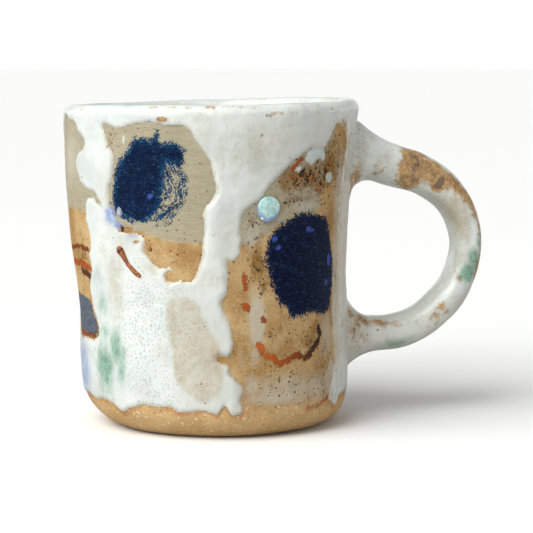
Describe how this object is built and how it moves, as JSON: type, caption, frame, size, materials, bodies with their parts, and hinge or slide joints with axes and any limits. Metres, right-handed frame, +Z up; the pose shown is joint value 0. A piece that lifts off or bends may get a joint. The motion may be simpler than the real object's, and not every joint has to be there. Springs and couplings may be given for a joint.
{
  "type": "stoneware mug",
  "caption": "Hand-built stoneware drinking mug with a flared round wall, a looped strap handle and fused glaze coats.",
  "frame": {"origin": "on the mug's axis at the resting face", "axes": "+Z up along the axis of the cup, +X towards the handle, +Y to the left of the handle"},
  "size_m": [0.122, 0.0836, 0.093],
  "materials": {
    "stoneware_clay": "bare groggy golden-buff stoneware, matt and slightly gritty",
    "joining_slip": "fine fired joining slip, matt, hidden inside the joints",
    "white_glaze": "glossy white glaze, thick where it pooled, with windows of bare clay and brushed cobalt blue",
    "liner_glaze": "glossy off-white liner glaze with fine specks",
    "turquoise_glaze": "glossy pale turquoise drop of glaze",
    "iron_slip": "satin rust-red iron slip, slightly raised"
  },
  "bodies": {
    "root": {"floor_slab": "stoneware_clay", "floor_slip": "joining_slip", "wall_slab": "stoneware_clay", "floor_seam_coil": "stoneware_clay", "handle_strap": "stoneware_clay", "upper_slip": "joining_slip", "lower_slip": "joining_slip", "upper_root_coil": "stoneware_clay", "lower_root_coil": "stoneware_clay", "liner_glaze": "liner_glaze", "outer_glaze": "white_glaze", "handle_glaze": "white_glaze", "glaze_drop": "turquoise_glaze", "slip_trail": "iron_slip"}
  },
  "joints": []
}
